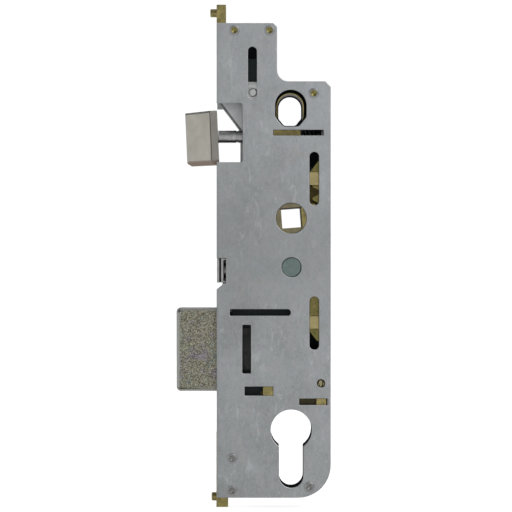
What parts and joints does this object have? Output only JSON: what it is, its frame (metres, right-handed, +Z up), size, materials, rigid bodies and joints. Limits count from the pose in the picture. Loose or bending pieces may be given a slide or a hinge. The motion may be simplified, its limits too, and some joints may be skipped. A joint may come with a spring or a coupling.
{
  "type": "mortise lock",
  "caption": "Multipoint mortise lock gearbox: flat steel case with latch, thrown deadbolt, spindle follower, rack drive, rod connectors and Euro cylinder cut-out.",
  "frame": {"origin": "centre of the spindle square, at mid-thickness of the case", "axes": "+Z up along the case, +X to the back of the lock away from the faceplate edge, -Y out of the cover"},
  "size_m": [0.0671, 0.0158, 0.2192],
  "materials": {
    "zinc_plate": "zinc plated, satin",
    "yellow_passivated": "yellow passivated zinc",
    "sintered_bolt": "grainy plated sinter",
    "nickel_latch": "satin nickel",
    "post_steel": "grey green passivated",
    "spring_steel": "oiled spring wire"
  },
  "bodies": {
    "case": {"case_cover": "zinc_plate", "case_tray": "zinc_plate", "upper_case_posts": "yellow_passivated", "lower_case_posts": "zinc_plate", "window_sleeve": "yellow_passivated", "handle_bolt_post": "post_steel", "faceplate_clip_nut": "zinc_plate", "latch_guide": "zinc_plate", "latch_lever_pin": "zinc_plate", "latch_spring_stop": "zinc_plate", "spring_stops": "zinc_plate", "throw_lever_pin": "zinc_plate", "detent_pin": "yellow_passivated", "upper_centring_spring": "spring_steel", "lower_centring_spring": "spring_steel", "latch_spring": "spring_steel"},
    "follower": {"follower": "yellow_passivated"},
    "drive": {"rack_bar": "yellow_passivated", "drive_slide": "yellow_passivated", "rack_rivets": "yellow_passivated", "connector_rivets": "yellow_passivated", "upper_rod_connector": "yellow_passivated", "lower_rod_connector": "yellow_passivated", "upper_link": "zinc_plate", "upper_link_rivet": "zinc_plate", "slide_lug": "yellow_passivated", "lug_rivets": "yellow_passivated"},
    "latch": {"latch_head": "nickel_latch", "latch_shaft": "zinc_plate", "latch_crosshead": "zinc_plate", "latch_tail_bar": "yellow_passivated"},
    "latch_lever": {"latch_lever": "yellow_passivated"},
    "deadbolt": {"deadbolt": "sintered_bolt", "deadbolt_tail": "yellow_passivated", "deadbolt_rivets": "zinc_plate", "deadbolt_drive_pin": "yellow_passivated"},
    "throw_lever": {"throw_lever": "yellow_passivated"},
    "key_slide": {"key_slide": "yellow_passivated", "key_slide_pin": "yellow_passivated"},
    "detent_lever": {"detent_lever": "yellow_passivated"}
  },
  "joints": [
    {"name": "follower_turn", "type": "hinge", "parent": "case", "child": "follower", "pos_m": [0, 0, 0], "axis": [0, 1, 0], "range_deg": [-43.6, 43.6]},
    {"name": "drive_slide", "type": "slide", "parent": "case", "child": "drive", "axis": [0, 0, 1], "range_m": [-0.0082, 0.0082], "stiffness_N_per_m": 400, "deforming": ["upper_centring_spring", "lower_centring_spring"]},
    {"name": "latch_slide", "type": "slide", "parent": "case", "child": "latch", "axis": [1, 0, 0], "range_m": [0, 0.0102], "stiffness_N_per_m": 300, "springref_m": -0.006, "deforming": ["latch_spring"]},
    {"name": "latch_lever_turn", "type": "hinge", "parent": "case", "child": "latch_lever", "pos_m": [-0.0064, 0, 0.016], "axis": [0, 1, 0], "range_deg": [0, 46.3]},
    {"name": "deadbolt_slide", "type": "slide", "parent": "case", "child": "deadbolt", "axis": [1, 0, 0], "range_m": [0, 0.0144]},
    {"name": "throw_lever_turn", "type": "hinge", "parent": "case", "child": "throw_lever", "pos_m": [-0.0048, 0, -0.06818], "axis": [0, 1, 0], "range_deg": [0, 48]},
    {"name": "key_slide_travel", "type": "slide", "parent": "case", "child": "key_slide", "axis": [-1, 0, 0], "range_m": [0, 0.00741]},
    {"name": "detent_turn", "type": "hinge", "parent": "case", "child": "detent_lever", "pos_m": [0.0129, 0, -0.0717], "axis": [0, 1, 0], "range_deg": [0, 8], "stiffness_Nm_per_rad": 0.02, "springref_deg": -5.73}
  ],
  "couplings": [
    {"joint": "follower_turn", "follows": "drive_slide", "rad_per_m": -92.593},
    {"joint": "latch_lever_turn", "follows": "latch_slide", "rad_per_m": 79.07},
    {"joint": "throw_lever_turn", "follows": "deadbolt_slide", "rad_per_m": 58.15},
    {"joint": "key_slide_travel", "follows": "deadbolt_slide", "ratio": 0.51389}
  ]
}
